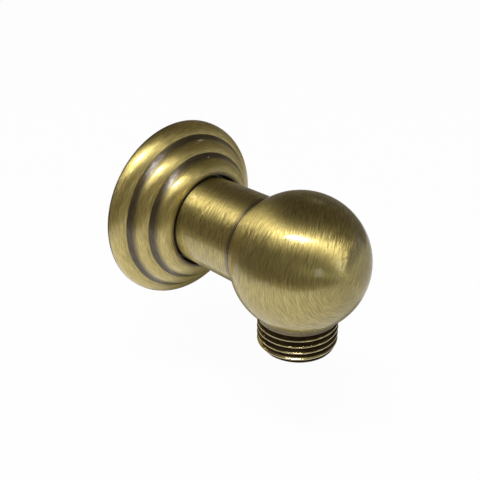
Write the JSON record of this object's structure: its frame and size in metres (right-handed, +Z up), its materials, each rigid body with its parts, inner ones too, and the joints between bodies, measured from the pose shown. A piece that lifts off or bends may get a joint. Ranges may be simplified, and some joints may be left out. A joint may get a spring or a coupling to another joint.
{
  "type": "wall outlet elbow",
  "caption": "Brass wall outlet elbow for a hand-shower hose: a neck out of the wall, a ball with a male hose thread pointing down, and a stepped round cover plate that slides on the neck.",
  "frame": {"origin": "where the neck's axis meets the finished wall, in the plane of the body's shoulder and the cover plate's rim", "axes": "+Y along the neck into the wall, +Z up, so the room is on the -Y side and the hose thread points down"},
  "size_m": [0.0506, 0.0756, 0.0506],
  "materials": {
    "antique_brass": "bronzed, brushed back to satin brass and lacquered",
    "black_rubber": "matt moulded rubber"
  },
  "bodies": {
    "elbow": {"elbow_body": "antique_brass"},
    "cover_plate": {"escutcheon": "antique_brass", "escutcheon_o_ring": "black_rubber"}
  },
  "joints": [
    {"name": "cover_slide", "type": "slide", "parent": "elbow", "child": "cover_plate", "axis": [0, -1, 0], "range_m": [0, 0.02]}
  ]
}
